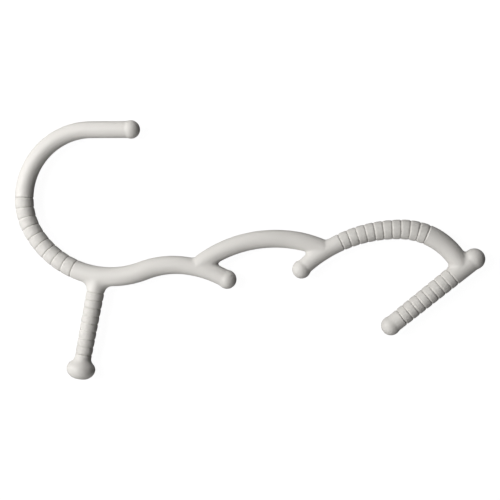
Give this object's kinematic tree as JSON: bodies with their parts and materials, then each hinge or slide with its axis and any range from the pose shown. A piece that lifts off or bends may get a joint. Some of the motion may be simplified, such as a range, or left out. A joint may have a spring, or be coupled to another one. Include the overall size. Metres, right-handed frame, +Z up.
{
  "type": "self-massage cane",
  "caption": "Hooked hand-held self-massage cane with ball knobs, a mushroom-ended side handle and ribbed hand grips.",
  "frame": {"origin": "middle of the cane's length and width, at the lowest point of the foot knob as the cane lies flat", "axes": "+X along the length, from the hook to the corner knob; +Y towards the hook's tip; +Z up through the cane's thickness, towards the front shell"},
  "size_m": [0.6148, 0.3434, 0.0378],
  "materials": {
    "shell_plastic": "satin warm light grey moulded plastic with a faint texture",
    "grip_elastomer": "matte fine-grained, a shade duller than the shell",
    "screw_steel": "plain zinc-plated screw"
  },
  "bodies": {
    "root": {"front_shell": "shell_plastic", "rear_shell": "shell_plastic", "hook_tip_knob": "shell_plastic", "left_spine_knob": "shell_plastic", "right_spine_knob": "shell_plastic", "corner_knob": "shell_plastic", "handle_end_knob": "shell_plastic", "foot_knob": "shell_plastic", "hook_grip": "grip_elastomer", "stub_grip": "grip_elastomer", "arch_grip": "grip_elastomer", "handle_grip": "grip_elastomer", "shell_screw_1": "screw_steel", "shell_screw_2": "screw_steel", "shell_screw_3": "screw_steel", "shell_screw_4": "screw_steel", "shell_screw_5": "screw_steel", "shell_screw_6": "screw_steel", "shell_screw_7": "screw_steel", "shell_screw_8": "screw_steel"}
  },
  "joints": []
}
